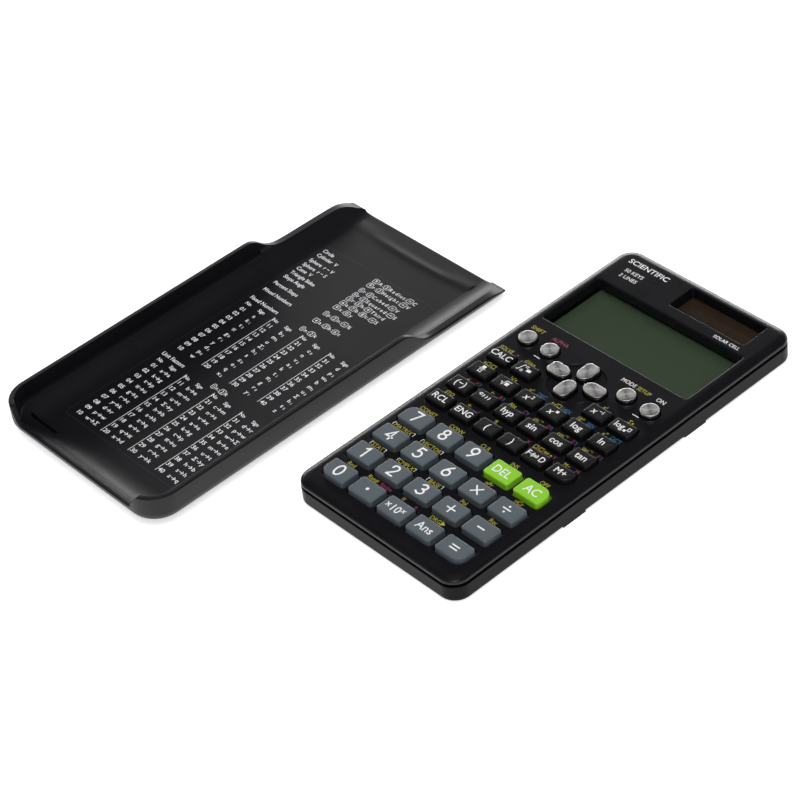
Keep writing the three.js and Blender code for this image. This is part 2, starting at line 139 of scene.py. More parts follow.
def ramp(nodes, links, source, low, high):
    """The source, spread over low..high (numbers or colours)."""
    mix = nodes.new("ShaderNodeMix")
    if isinstance(low, float):
        mix.inputs["A"].default_value, mix.inputs["B"].default_value = low, high
        out = mix.outputs["Result"]
    else:
        mix.data_type = "RGBA"
        mix.inputs[6].default_value, mix.inputs[7].default_value = (*low, 1), (*high, 1)
        out = mix.outputs[2]
    links.new(source, mix.inputs["Factor"])
    return out


def moulded(name, colour, roughness, grain=0.16, bump=0.25, spread=0.16, specular=0.5, sheen=0.0):
    """Moulded plastic: a fine spark-eroded grain, with slow changes of gloss and colour.
    Sheen is the pale scatter of the grain where the surface turns away."""
    mat, nodes, links, shader = new_material(name, {
        "Sheen Weight": sheen, "Sheen Roughness": 0.22, "Specular IOR Level": specular})
    fine = noise(nodes, links, 1000 / grain, 3)
    slow = noise(nodes, links, 70, 4)
    dark = [c * (1 - spread) for c in colour]
    light = [c * (1 + spread) for c in colour]
    links.new(ramp(nodes, links, slow, dark, light), shader.inputs["Base Color"])
    links.new(ramp(nodes, links, slow, roughness - 0.04, roughness + 0.05), shader.inputs["Roughness"])
    node = nodes.new("ShaderNodeBump")
    node.inputs["Strength"].default_value = bump
    node.inputs["Distance"].default_value = GRAIN_DEPTH * MM
    links.new(fine, node.inputs["Height"])
    links.new(node.outputs["Normal"], shader.inputs["Normal"])
    return mat


def ink(name, colour):
    """Printed ink: slightly uneven cover, no gloss."""
    mat, nodes, links, shader = new_material(name, {"Roughness": 0.55})
    thin = [c * 0.82 for c in colour]
    links.new(ramp(nodes, links, noise(nodes, links, 2500, 2), thin, colour), shader.inputs["Base Color"])
    return mat


def turned_metal(name):
    """Turned caps: concentric tool marks, so that every highlight spreads into fans from the centre."""
    mat, nodes, links, shader = new_material(name, {
        "Base Color": (0.86, 0.85, 0.83, 1), "Metallic": 1.0, "Anisotropic": 0.85, "Roughness": 0.34})
    marks = nodes.new("ShaderNodeTangent")
    marks.direction_type = "RADIAL"
    marks.axis = "Z"
    links.new(marks.outputs[0], shader.inputs["Tangent"])
    return mat


def smooth_metal(name, colour, roughness):
    mat, nodes, links, shader = new_material(name, {"Metallic": 1.0, "Base Color": (*colour, 1)})
    links.new(ramp(nodes, links, noise(nodes, links, 700, 3), roughness - 0.05, roughness + 0.08),
              shader.inputs["Roughness"])
    return mat


def clear_window(name):
    """A clear panel: seen through, with the gloss of polished acrylic."""
    mat, nodes, links, shader = new_material(name)
    nodes.remove(shader)
    clear = nodes.new("ShaderNodeBsdfTransparent")
    clear.inputs["Color"].default_value = (0.93, 0.95, 0.93, 1)
    gloss = nodes.new("ShaderNodeBsdfGlossy")
    gloss.inputs["Roughness"].default_value = 0.08
    facing = nodes.new("ShaderNodeLayerWeight")
    steep = maths(nodes, links, "POWER", facing.outputs["Facing"], 3.0)
    mix = nodes.new("ShaderNodeMixShader")
    links.new(ramp(nodes, links, steep, 0.03, 0.6), mix.inputs[0])
    links.new(clear.outputs[0], mix.inputs[1])
    links.new(gloss.outputs[0], mix.inputs[2])
    links.new(mix.outputs[0], nodes["Material Output"].inputs["Surface"])
    return mat


def ruled(name, colour, line_colour, pitch, line, roughness):
    """A panel with thin lines at a pitch along X and Y (0 leaves a direction out)."""
    mat, nodes, links, shader = new_material(name, {"Roughness": roughness})
    coords = nodes.new("ShaderNodeTexCoord")
    split = nodes.new("ShaderNodeSeparateXYZ")
    links.new(coords.outputs["Object"], split.inputs[0])
    drawn = []
    for axis, step in zip("XY", pitch):
        if step:
            wrap = maths(nodes, links, "PINGPONG", split.outputs[axis], step * MM / 2)
            drawn.append(maths(nodes, links, "LESS_THAN", wrap, line * MM / 2))
    total = maths(nodes, links, "MAXIMUM", *drawn) if len(drawn) == 2 else drawn[0]
    links.new(ramp(nodes, links, total, colour, line_colour), shader.inputs["Base Color"])
    return mat


def srgb(r, g, b):
    return tuple(((v / 255 + 0.055) / 1.055) ** 2.4 if v > 10 else v / 255 / 12.92 for v in (r, g, b))


MATERIAL = {
    "case": moulded("case_plastic", (0.0042, 0.0042, 0.0056), 0.28, grain=0.22, bump=0.2, specular=0.30,
                    sheen=0.008),
    "rear": moulded("rear_plastic", (0.0046, 0.0042, 0.0041), 0.34, grain=0.22, bump=0.25, specular=0.09),
    "cover": moulded("cover_plastic", (0.0040, 0.0041, 0.0055), 0.42, grain=0.2, bump=0.25, specular=0.32),
    "dish": moulded("cluster_gloss", (0.005, 0.005, 0.006), 0.12, bump=0.05),
    "black_key": moulded("black_key", (0.0050, 0.0050, 0.0056), 0.36, grain=0.18, bump=0.25, specular=0.38),
    "grey_key": moulded("grey_key", (0.072, 0.088, 0.100), 0.42, grain=0.2, bump=0.3, spread=0.06),
    "green_key": moulded("green_key", srgb(126, 188, 36), 0.38, grain=0.2, bump=0.25, spread=0.05),
    "cap": turned_metal("turned_cap"),
    "screw": smooth_metal("screw_steel", (0.30, 0.30, 0.31), 0.32),
    "cell": smooth_metal("cell_steel", (0.55, 0.56, 0.58), 0.28),
    "window": clear_window("display_acrylic"),
    "lcd": ruled("lcd_glass", srgb(62, 72, 57), srgb(57, 67, 53), (0.62, 0.62), 0.05, 0.3),
    "solar": ruled("solar_glass", srgb(42, 32, 24), srgb(30, 24, 20), (8.6, 0), 0.3, 0.16),
    "board": moulded("board_mask", (0.012, 0.10, 0.04), 0.4),
    "mat": moulded("key_mat_silicone", (0.50, 0.53, 0.55), 0.6),
    "ribbon": moulded("ribbon_film", (0.52, 0.18, 0.03), 0.3),
    "white": ink("ink_white", (0.80, 0.80, 0.80)),
    "yellow": ink("ink_yellow", (0.40, 0.35, 0.035)),
    "magenta": ink("ink_magenta", (0.26, 0.03, 0.075)),
    "blue": ink("ink_blue", (0.02, 0.13, 0.27)),
    "print": ink("ink_print", (0.86, 0.86, 0.88)),
    "print_dim": ink("ink_print_dim", (0.016, 0.016, 0.019)),
}


# ---- meshes

def place_object(name, data):
    obj = bpy.data.objects.new(name, data)
    bpy.context.scene.collection.objects.link(obj)
    return obj


def mesh_object(name, verts, faces, merge):
    """A mesh object whose points closer than merge are joined and whose faces look outwards."""
    mesh = bpy.data.meshes.new(name)
    mesh.from_pydata(verts, [], faces)
    work = bmesh.new()
    work.from_mesh(mesh)
    bmesh.ops.remove_doubles(work, verts=work.verts, dist=merge)
    bmesh.ops.dissolve_degenerate(work, edges=work.edges, dist=merge / 10)
    bmesh.ops.recalc_face_normals(work, faces=work.faces)
    work.to_mesh(mesh)
    work.free()
    return place_object(name, mesh)


def evaluated_shape(obj):
    """An object's (vertices, faces) after its modifiers."""
    graph = bpy.context.evaluated_depsgraph_get()
    mesh = bpy.data.meshes.new_from_object(obj.evaluated_get(graph))
    shape = [tuple(v.co) for v in mesh.vertices], [tuple(p.vertices) for p in mesh.polygons]
    bpy.data.meshes.remove(mesh)
    return shape


def piece(name, shape, material, body, node=None, smooth=32):
    """A mesh object from (vertices, faces) in millimetres, riding on a body."""
    verts, faces = shape
    obj = mesh_object(name, [(x * MM, y * MM, z * MM) for x, y, z in verts], faces, 1e-6)
    mesh = obj.data
    mesh.materials.append(MATERIAL[material])
    mesh.polygons.foreach_set("use_smooth", [True] * len(mesh.polygons))
    mesh.set_sharp_from_angle(angle=math.radians(smooth))
    weighted = obj.modifiers.new("weighted_normals", "WEIGHTED_NORMAL")
    weighted.keep_sharp = True
    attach(obj, body)
    if node:
        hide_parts(node)


def outline(box, radii, inset=0.0, steps=8, stations=()):
    """Counter-clockwise rounded box. Corners: near right, far right, far left, near left.
    Stations are extra points along the two long sides."""
    x0, x1, y0, y1 = box[0] + inset, box[1] - inset, box[2] + inset, box[3] - inset
    corners = ((x1, y0, -1, 1, -90), (x1, y1, -1, -1, 0), (x0, y1, 1, -1, 90), (x0, y0, 1, 1, 180))
    points = []
    for index, (x, y, sx, sy, start) in enumerate(corners):
        r = max(radii[index] - inset, 0.15)
        for k in range(steps + 1):
            a = math.radians(start + 90 * k / steps)
            points.append((x + sx * r + r * math.cos(a), y + sy * r + r * math.sin(a)))
        if index == 0:
            points += [(x1, s) for s in stations]
        if index == 2:
            points += [(x0, s) for s in reversed(stations)]
    return points


def grow(points, distance):
    """Moves every edge of a convex counter-clockwise outline outwards."""
    count = len(points)
    edges = []
    for i, (x, y) in enumerate(points):
        nx, ny = points[(i + 1) % count]
        length = math.hypot(nx - x, ny - y)
        normal = ((ny - y) / length, (x - nx) / length)
        edges.append((*normal, normal[0] * x + normal[1] * y + distance))
    grown = []
    for i in range(count):
        ax, ay, ar = edges[i - 1]
        bx, by, br = edges[i]
        det = ax * by - ay * bx
        grown.append(((ar * by - br * ay) / det, (ax * br - bx * ar) / det))
    return grown


def rings_shape(rings, bottom=True, top=True):
    """Closed body through rings of (x, y, z) with equal counts, from the bottom up."""
    count = len(rings[0])
    verts = [v for ring in rings for v in ring]
    faces = []
    for level in range(len(rings) - 1):
        for i in range(count):
            a, b = level * count + i, level * count + (i + 1) % count
            faces.append((a, b, b + count, a + count))
    if bottom:
        faces.append(tuple(reversed(range(count))))
    if top:
        faces.append(tuple(range((len(rings) - 1) * count, len(rings) * count)))
    return verts, faces


def skin(*rings):
    """The open surface through rings."""
    return rings_shape(rings, False, False)


def ring(points, z):
    return [(x, y, z) for x, y in points]


def merged(*shapes):
    verts, faces = [], []
    for v, f in shapes:
        faces += [tuple(i + len(verts) for i in face) for face in f]
        verts += v
    return verts, faces


def inside(point, polygon):
    x, y = point
    hit = False
    for (ax, ay), (bx, by) in zip(polygon, polygon[1:] + polygon[:1]):
        if (ay > y) != (by > y) and x < (bx - ax) * (y - ay) / (by - ay) + ax:
            hit = not hit
    return hit


def plate(outer, holes, z):
    """A flat face between an outer outline and its holes."""
    points, edges = [], []
    for loop in (outer, *holes):
        start = len(points)
        points += [Vector(p) for p in loop]
        edges += [(start + i, start + (i + 1) % len(loop)) for i in range(len(loop))]
    verts, _, faces, *_ = delaunay_2d_cdt(points, edges, [], 0, 1e-5)
    kept = []
    for face in faces:
        centre = sum((verts[i] for i in face), Vector((0, 0))) / len(face)
        if inside(centre, outer) and not any(inside(centre, hole) for hole in holes):
            kept.append(tuple(face))
    return [(v.x, v.y, z) for v in verts], kept


def rounded_edge(radius, steps=3):
    """(outset, drop) pairs of a quarter round, from the flat face down into a hole."""
    angles = [math.radians(90 * k / steps) for k in range(steps + 1)]
    return [(radius * (1 - math.sin(a)), radius * (1 - math.cos(a))) for a in angles]


def circle(x, y, r, count=32):
    return [(x + r * math.cos(2 * math.pi * i / count), y + r * math.sin(2 * math.pi * i / count))
            for i in range(count)]


# ---- lettering

# Digits as pen strokes on a cap height of 1: "line" strokes keep their corners, "bend" strokes
# are drawn as a smooth curve through their points, "loop" is an ellipse (x, y, rx, ry).
DIGITS = {
    "0": [("loop", (0.31, 0.5, 0.27, 0.45))],
    "1": [("line", ((0.14, 0.79), (0.36, 0.95), (0.36, 0.05)))],
    "2": [("bend", ((0.07, 0.70), (0.12, 0.88), (0.31, 0.95), (0.51, 0.86), (0.53, 0.66), (0.37, 0.40),
                    (0.07, 0.05))), ("line", ((0.07, 0.05), (0.57, 0.05)))],
    "3": [("bend", ((0.08, 0.84), (0.29, 0.95), (0.50, 0.85), (0.49, 0.63), (0.28, 0.53))),
          ("bend", ((0.28, 0.53), (0.52, 0.44), (0.55, 0.21), (0.31, 0.05), (0.06, 0.16)))],
    "4": [("line", ((0.44, 0.05), (0.44, 0.95), (0.04, 0.30), (0.60, 0.30)))],
    "5": [("line", ((0.52, 0.94), (0.18, 0.94), (0.12, 0.55))),
          ("bend", ((0.12, 0.55), (0.33, 0.62), (0.55, 0.48), (0.54, 0.20), (0.30, 0.05), (0.06, 0.14)))],
    "6": [("bend", ((0.45, 0.95), (0.25, 0.72), (0.08, 0.42), (0.05, 0.31))),
          ("loop", (0.31, 0.31, 0.26, 0.26))],
    "7": [("line", ((0.05, 0.94), (0.57, 0.94), (0.24, 0.05)))],
    "8": [("loop", (0.31, 0.73, 0.21, 0.22)), ("loop", (0.31, 0.28, 0.26, 0.23))],
    "9": [("bend", ((0.17, 0.05), (0.37, 0.28), (0.54, 0.58), (0.57, 0.69))),
          ("loop", (0.31, 0.69, 0.26, 0.26))],
}
INK = 0.02


def bend(points, steps=5):
    """A smooth curve through the points."""
    pts = [Vector(p) for p in points]
    pts = [2 * pts[0] - pts[1]] + pts + [2 * pts[-1] - pts[-2]]
    curve = []
    for a, b, c, d in zip(pts, pts[1:], pts[2:], pts[3:]):
        for k in range(steps):
            t = k / steps
            curve.append(0.5 * (2 * b + (c - a) * t + (2 * a - 5 * b + 4 * c - d) * t * t
                                + (3 * b - a - 3 * c + d) * t ** 3))
    return curve + [pts[-2]]


def stroke_outline(points, half, closed=False):
    """The inked band along a line, as left and right edges and round ends."""
    pts = [Vector(p) for p in points]
    count = len(pts)
    left, right = [], []
    for i, p in enumerate(pts):
        before = pts[i - 1] if i or closed else None
        after = pts[(i + 1) % count] if i < count - 1 or closed else None
        d1 = (p - before).normalized() if before is not None else None
        d2 = (after - p).normalized() if after is not None else None
        d = ((d1 or d2) + (d2 or d1)).normalized()
        side = Vector((-d.y, d.x))
        reach = half / max(side.dot(Vector((-(d1 or d2).y, (d1 or d2).x))), 0.45)
        left.append(p + side * reach)
        right.append(p - side * reach)
    if closed:
        return left, right
    ends = []
    for p, q in ((pts[0], pts[1]), (pts[-1], pts[-2])):
        back = (p - q).normalized()
        side = Vector((-back.y, back.x))
        ends.append([p + half * (math.cos(a) * back + math.sin(a) * side)
                     for a in (math.radians(v) for v in (60, 30, 0, -30, -60))])
    return left, right, ends


def extruded(points, z):
    """A closed flat body from a simple outline."""
    count = len(points)
    verts = [(*p, z) for p in points] + [(*p, z + INK) for p in points]
    sides = [(i, (i + 1) % count, (i + 1) % count + count, i + count) for i in range(count)]
    return verts, sides + [tuple(reversed(range(count))), tuple(range(count, 2 * count))]


def stroke(points, half, z, closed=False):
    if not closed:
        left, right, ends = stroke_outline(points, half)
        return extruded([tuple(v) for v in left + ends[1] + right[::-1] + ends[0]][::-1], z)
    left, right = stroke_outline(points, half, True)
    count = len(left)
    loops = [[(*p, z) for p in left], [(*p, z + INK) for p in left],
             [(*p, z + INK) for p in right], [(*p, z) for p in right]]
    verts = [v for loop in loops for v in loop]
    faces = []
    for k in range(4):
        for i in range(count):
            j = (i + 1) % count
            faces.append((k * count + i, k * count + j, (k + 1) % 4 * count + j, (k + 1) % 4 * count + i))
    return verts, faces


def digit(char, x, y, height, weight, z):
    """One drawn digit with its centre at x, y."""
    shapes = []
    for level, (kind, data) in enumerate(DIGITS[char]):
        if kind == "loop":
            cx, cy, rx, ry = data
            points = [(cx + rx * math.cos(2 * math.pi * k / 28), cy + ry * math.sin(2 * math.pi * k / 28))
                      for k in range(28)]
        else:
            points = data if kind == "line" else bend(data)
        placed = [(x + (px - 0.31) * height, y + (py - 0.5) * height) for px, py in points]
        shapes.append(stroke(placed, weight / 2, z + 0.006 * level, kind == "loop"))
    return merged(*shapes)


GLYPHS = {}


def text_shape(body, height, weight=0.0):
    """A word's letters as a flat closed body, centred on 0, 0."""
    key = (body, height, weight)
    if key not in GLYPHS:
        curve = bpy.data.curves.new("letters", "FONT")
        curve.body = body
        curve.size = height / 0.69
        curve.offset = weight
        curve.extrude = INK / 2
        curve.resolution_u = 3
        obj = place_object("letters", curve)
        verts, faces = evaluated_shape(obj)
        bpy.data.objects.remove(obj)
        bpy.data.curves.remove(curve)
        xs = [v[0] for v in verts]
        middle = (min(xs) + max(xs)) / 2
        GLYPHS[key] = ([(x - middle, y - height / 2, z) for x, y, z in verts], faces)
    return GLYPHS[key]


def text(body, x, y, height, z, weight=0.0, stretch=1.0, slant=0.0, align="centre"):
    verts, faces = text_shape(body, height, weight)
    shift = 0.0
    if align == "left":
        shift = -min(v[0] for v in verts) * stretch
    return [(x + shift + vx * stretch + vy * slant, y + vy, z + vz + INK / 2) for vx, vy, vz in verts], faces


def bar(x0, x1, y0, y1, z):
    return extruded([(x0, y0), (x1, y0), (x1, y1), (x0, y1)], z)


# ---- keys

Key = namedtuple("Key", "name x y points family")


def rectangle_points(name, x, y, size, corner):
    radii = [3.6 if c in ROUND_CORNERS.get(name, ()) else corner for c in range(4)]
    box = (x - size[0] / 2, x + size[0] / 2, y - size[1] / 2, y + size[1] / 2)
    return outline(box, radii, steps=7)


def soft_polygon(points, radius, steps=4):
    """A convex outline with every corner rounded off."""
    result = []
    count = len(points)
    for i in range(count):
        p, a, b = Vector(points[i]), Vector(points[i - 1]), Vector(points[(i + 1) % count])
        reach = min(radius, (a - p).length * 0.45, (b - p).length * 0.45)
        start, end = p + (a - p).normalized() * reach, p + (b - p).normalized() * reach
        for k in range(steps + 1):
            t = k / steps
            result.append(tuple(start * (1 - t) ** 2 + p * 2 * t * (1 - t) + end * t * t))
    return result


def cursor_points(x, y, turns):
    half, end = CURSOR_HALF
    right = [(half * 0.3, -end), (half * 0.74, -end * 0.76), (half, -end * 0.33), (half, end * 0.68),
             (half * 0.6, end)]
    both = right + [(-px, py) for px, py in reversed(right)]
    cos, sin = (1, 0, -1, 0)[turns], (0, 1, 0, -1)[turns]
    return soft_polygon([(x + px * cos - py * sin, y + px * sin + py * cos) for px, py in both], 0.55)


def make_keys():
    keys = [Key(n, x, y, circle(x, y, ROUND_R, 48), "round") for n, (x, y) in ROUND_KEYS.items()]
    for name, (dx, dy, turns) in CURSOR_KEYS.items():
        x = CURSOR_CENTRE[0] + dx * CURSOR_REACH[0]
        y = CURSOR_CENTRE[1] + dy * CURSOR_REACH[1]
        keys.append(Key(name, x, y, cursor_points(x, y, turns), "cursor"))
    for family, rows, pitch, start, size, corner in (
            ("function", FUNCTION_KEYS, FUNCTION_PITCH, FUNCTION_START, FUNCTION_SIZE, 1.1),
            ("number", NUMBER_KEYS, NUMBER_PITCH, NUMBER_START, NUMBER_SIZE, 1.3)):
        for r, row in enumerate(rows):
            names = row.split()
            for c, short in enumerate(names):
                name = "key_" + short
                x = start[0] + (c - (len(names) - 1) / 2) * pitch[0]
                y = start[1] - r * pitch[1]
                if short != "-":
                    keys.append(Key(name, x, y, rectangle_points(name, x, y, size, corner), family))
    return keys


KEYS = make_keys()
KEY = {key.name: key for key in KEYS}


def cap_rings(points, low, high, radius, draft):
    """Rings of a key cap: drafted sides, a rounded top edge and a barely crowned top."""
    rings = [ring(points, low)]
    for out, drop in reversed(rounded_edge(radius, 4)):
        # the quarter round of a hole, mirrored to the outside of a cap
        rings.append(ring(grow(points, -draft - radius + (radius - out)), high - drop))
    rings.append(ring(grow(points, -draft - radius - 0.5), high + 0.02))
    return rings


def key_shape(key, top, radius=0.45, draft=0.12):
    flange = grow(key.points, 0.5)
    return rings_shape([ring(flange, KEY_BOTTOM), ring(flange, FLANGE_TOP),
                        *cap_rings(key.points, FLANGE_TOP, top, radius, draft)])


def key_material(key):
    """A plastic key's material, which is its slot's name too."""
    if key.name in ("key_delete", "key_all_clear"):
        return "green_key"
    return "black_key" if key.family == "function" else "grey_key"


def build_key(key):
    body = key.name + "_body"
    if key.family in ("round", "cursor"):
        metal = grow(key.points, -0.12)
        piece(key.name + "_stem", key_shape(key, 10.6, 0.25, 0.05), "dish", body)
        cap = rings_shape([ring(metal, 10.62), *cap_rings(metal, 10.9, KEY_TOP - 0.02, 0.3, 0.0)])
        piece(key.name + "_cap", cap, "cap", body, key.name)
        return
    trimmed = key._replace(points=grow(key.points, -0.1))
    material = key_material(key)
    shape = key_shape(trimmed, KEY_TOP - 0.02, draft=0.26)
    piece(key.name + "_cap", shape, material, body, key.name)


for each in KEYS:
    build_key(each)


# ---- legends on the keys

LEGEND_Z = KEY_TOP - 0.012
FACE_INK_Z = FACE_Z - 0.008


# word, cap height and stretch of each legend that is a word
WORDS = {
    "delete": ("DEL", 3.3, 0.93), "all_clear": ("AC", 3.4, 0.95),
    "answer": ("Ans", 3.2, 0.98), "calculate": ("CALC", 2.5, 1.0),
    "recall": ("RCL", 2.6, 1.0), "engineering": ("ENG", 2.6, 1.0),
    "hyperbolic": ("hyp", 2.7, 0.98), "sine": ("sin", 2.7, 1.0),
    "cosine": ("cos", 2.7, 1.0), "tangent": ("tan", 2.7, 1.0), "log": ("log", 2.7, 1.0),
    "natural_log": ("ln", 2.7, 1.0), "memory_add": ("M+", 2.6, 1.0),
    "negative": ("(−)", 2.7, 1.0), "open_bracket": ("(", 2.8, 1.0),
    "close_bracket": (")", 2.8, 1.0), "decimal_swap": ("F⇔D", 2.4, 0.9),
}


def block_mark(x, y, width, height, z):
    return bar(x - width / 2, x + width / 2, y - height / 2, y + height / 2, z)


def box_mark(x, y, width, height, weight, z):
    """An open box: the place of a number in a formula."""
    left, right, low, high = x - width / 2, x + width / 2, y - height / 2, y + height / 2
    return merged(bar(left, right, low, low + weight, z), bar(left, right, high - weight, high, z),
                  bar(left, left + weight, low + weight, high - weight, z),
                  bar(right - weight, right, low + weight, high - weight, z))


def dot(x, y, radius, z):
    return extruded(circle(x, y, radius, 20), z)


def slanted_x(x, y, height, z):
    return text("x", x, y, height, z, 0.02, 1.05, slant=0.22)


def drawn_legends(z):
    """The legends made of several marks, each centred on 0, 0."""
    crossing = z + 0.004
    integral = bend(((-2.9, -1.5), (-2.4, -1.55), (-2.1, -0.8), (-1.7, 0.9), (-1.4, 1.6), (-0.9, 1.5)))
    root = ((-1.75, 0.0), (-1.25, 0.1), (-0.75, -1.2), (-0.1, 1.35), (2.0, 1.35))
    ticks = [stroke(((x, 1.0), (x + 0.12, 0.4), (x - 0.1, -0.2)), 0.18, z) for x in (-0.9, 0.45, 1.75)]
    return {
        "multiply": [stroke(((-1.5, -1.5), (1.5, 1.5)), 0.27, z),
                         stroke(((-1.5, 1.5), (1.5, -1.5)), 0.27, crossing)],
        "divide": [bar(-1.75, 1.75, -0.26, 0.26, z), dot(0, 1.45, 0.42, z), dot(0, -1.45, 0.42, z)],
        "add": [bar(-1.95, 1.95, -0.27, 0.27, z), bar(-0.27, 0.27, -1.95, 1.95, crossing)],
        "subtract": [bar(-1.6, 1.6, -0.28, 0.28, z)],
        "equals": [bar(-1.75, 1.75, 0.42, 0.94, z), bar(-1.75, 1.75, -0.94, -0.42, z)],
        "decimal_point": [dot(0, 0.1, 0.62, z)],
        "exponent": [text("×10", -1.0, -0.25, 3.1, z, 0.03, 0.95), slanted_x(3.3, 0.8, 2.1, z)],
        "reciprocal": [slanted_x(-1.1, 0, 2.6, z), text("−1", 1.2, 0.8, 1.4, z, 0.03)],
        "log_base": [text("log", -1.2, 0.2, 2.5, z, 0.028, 0.95),
                         block_mark(1.65, -1.0, 0.95, 0.95, z), box_mark(2.95, 0.25, 1.3, 1.7, 0.25, z)],
        "square": [slanted_x(-0.6, 0, 2.7, z), text("2", 1.35, 0.8, 1.5, z, 0.03)],
        "power": [slanted_x(-0.7, 0, 2.7, z), block_mark(1.3, 0.95, 1.1, 1.1, z)],
        "fraction": [block_mark(0, 1.3, 1.5, 1.3, z), bar(-1.35, 1.35, 0.2, 0.44, z),
                         box_mark(0, -0.85, 1.5, 1.5, 0.28, z)],
        "square_root": [stroke(root, 0.14, z), block_mark(0.95, -0.1, 1.5, 1.5, z)],
        "integral": [stroke(integral, 0.15, z), box_mark(0.05, 1.15, 0.95, 0.95, 0.2, z),
                         box_mark(-0.75, -1.2, 0.95, 0.95, 0.2, z), block_mark(1.75, -0.1, 1.8, 1.2, z)],
        "degrees": [stroke(circle(-2.25, 0.75, 0.5, 20), 0.16, z, True), *ticks],
    }


def add_legends():
    drawn = drawn_legends(LEGEND_Z)
    for key in KEYS:
        name = key.name.removeprefix("key_")
        if name in DIGITS:
            parts = [digit(name, 0, 0.1, 5.2, 0.70, LEGEND_Z)]
        elif name in WORDS:
            word, height, stretch = WORDS[name]
            parts = [text(word, 0, 0, height, LEGEND_Z, 0.028, stretch)]
        elif name in drawn:
            parts = drawn[name]
        else:
            continue
        verts, faces = merged(*parts)
        placed = [(x + key.x, y + key.y, z) for x, y, z in verts]
        piece(key.name + "_legend", (placed, faces), "white", key.name + "_body")


add_legends()


# ---- front case

CASE_BOX = (-CASE_W / 2, CASE_W / 2, -CASE_L / 2, CASE_L / 2)


def case_outline(inset, stations=()):
    return outline(CASE_BOX, [CASE_R] * 4, inset, 14, stations)


def dish_outline():
    """The shallow glossy dish round the cursor keys: a disc joined with the side keys' ends."""
    cx, cy = CURSOR_CENTRE
    polygons = [grow(KEY[name].points, 0.75) for name in CURSOR_KEYS]
    points = []
    for k in range(96):
        a = 2 * math.pi * k / 96
        r = DISH_R
        for step in range(60):
            reach = DISH_R + step * 0.05
            if any(inside((cx + reach * math.cos(a), cy + reach * math.sin(a)), p) for p in polygons):
                r = reach
        points.append((cx + r * math.cos(a), cy + r * math.sin(a)))
    return points


def shrink_to(points, centre, distance):
    moved = []
    for x, y in points:
        d = Vector((x - centre[0], y - centre[1]))
        d *= 1 - distance / d.length
        moved.append((centre[0] + d.x, centre[1] + d.y))
    return moved


def hole_wall(points, top, bottom, radius):
    edge = [ring(grow(points, out), top - drop) for out, drop in rounded_edge(radius)]
    return skin(*edge, ring(points, bottom))


def build_front_case():
    shoulder = [ring(case_outline(LIP_INSET + inset), z) for inset, z in SHOULDER]
    shell = [
        ring(case_outline(CAVITY_INSET), PLATE_UNDER),
        ring(case_outline(CAVITY_INSET), SKIRT_BOTTOM),
        ring(case_outline(SKIRT_INSET), SKIRT_BOTTOM),
        ring(case_outline(SKIRT_INSET), LIP_Z),
        ring(case_outline(LIP_INSET + 0.12), LIP_Z),
        ring(case_outline(LIP_INSET), LIP_Z + 0.1),
        *shoulder,
    ]
    shapes = [skin(*shell)]
    top_holes, under_holes = [], []
    for box, radii, edge in ((DISPLAY, (1.5, 0.9, 0.9, 1.2), 0.5), (SOLAR, (1.2, 0.9, 0.9, 1.0), 0.3)):
        hole = outline(box, radii, steps=6)
        shapes.append(hole_wall(hole, FACE_Z, WELL_BOTTOM, edge))
        outside = grow(hole, WELL_WALL)
        shapes.append(skin(ring(hole, WELL_BOTTOM), ring(outside, WELL_BOTTOM), ring(outside, PLATE_UNDER)))
        top_holes.append(grow(hole, edge))
        under_holes.append(outside)
    dish = dish_outline()
    dish_holes = []
    for key in KEYS:
        hole = grow(key.points, 0.35)
        in_dish = key.family == "cursor"
        shapes.append(hole_wall(hole, FACE_Z - DISH_DEPTH * in_dish, PLATE_UNDER, HOLE_EDGE))
        under_holes.append(hole)
        (dish_holes if in_dish else top_holes).append(grow(hole, HOLE_EDGE))
    rim = [(0.0, 0.0), (0.12, 0.03), (0.28, 0.14), (0.42, 0.34), (0.5, DISH_DEPTH)]
    shapes.append(skin(*(ring(shrink_to(dish, CURSOR_CENTRE, d), FACE_Z - drop) for d, drop in rim)))
    top_holes.append(dish)
    shapes.append(plate(case_outline(LIP_INSET + SHOULDER[-1][0]), top_holes, FACE_Z))
    shapes.append(plate(shrink_to(dish, CURSOR_CENTRE, rim[-1][0]), dish_holes, FACE_Z - DISH_DEPTH))
    shapes.append(plate(case_outline(CAVITY_INSET), under_holes, PLATE_UNDER))
    piece("front_shell", merged(*shapes), "case", "calculator", "front_case")


build_front_case()


# ---- rear case

LUG_STATIONS = [y for low, high in LUGS for y in (low - 0.01, low, high, high + 0.01)]


def rear_ring(inset, z):
    """A ring of the rear case; inside the lugs the lower edge stays square."""
    points = []
    for x, y in case_outline(inset, LUG_STATIONS):
        if abs(x) > CASE_W / 2 - REAR_EDGE - 0.01 and any(a <= y <= b for a, b in LUGS):
            x = math.copysign(CASE_W / 2, x)
        points.append((x, y, z))
    return points


def screw_shape(x, y):
    """A pan-head screw set in its counterbore, its cross slot facing down."""
    head = circle(x, y, 1.7, 32)
    crown, flat = grow(head, -0.25), grow(head, -0.5)
    arm, tip = 0.24, 0.85
    quarter = ((arm, arm), (arm, tip), (-arm, tip))
    turns = ((1, 0), (0, 1), (-1, 0), (0, -1))
    cross = [(x + px * c - py * s, y + px * s + py * c) for c, s in turns for px, py in quarter]
    deep = [(x + (px - x) * 0.8, y + (py - y) * 0.8) for px, py in cross]
    return merged(rings_shape([ring(head, 0.85), ring(head, 0.55), ring(crown, 0.36)], True, False),
                  skin(ring(crown, 0.36), ring(flat, 0.32)),
                  rings_shape([ring(cross, 0.32), ring(deep, 0.72)], False, True),
                  plate(flat, [cross], 0.32))


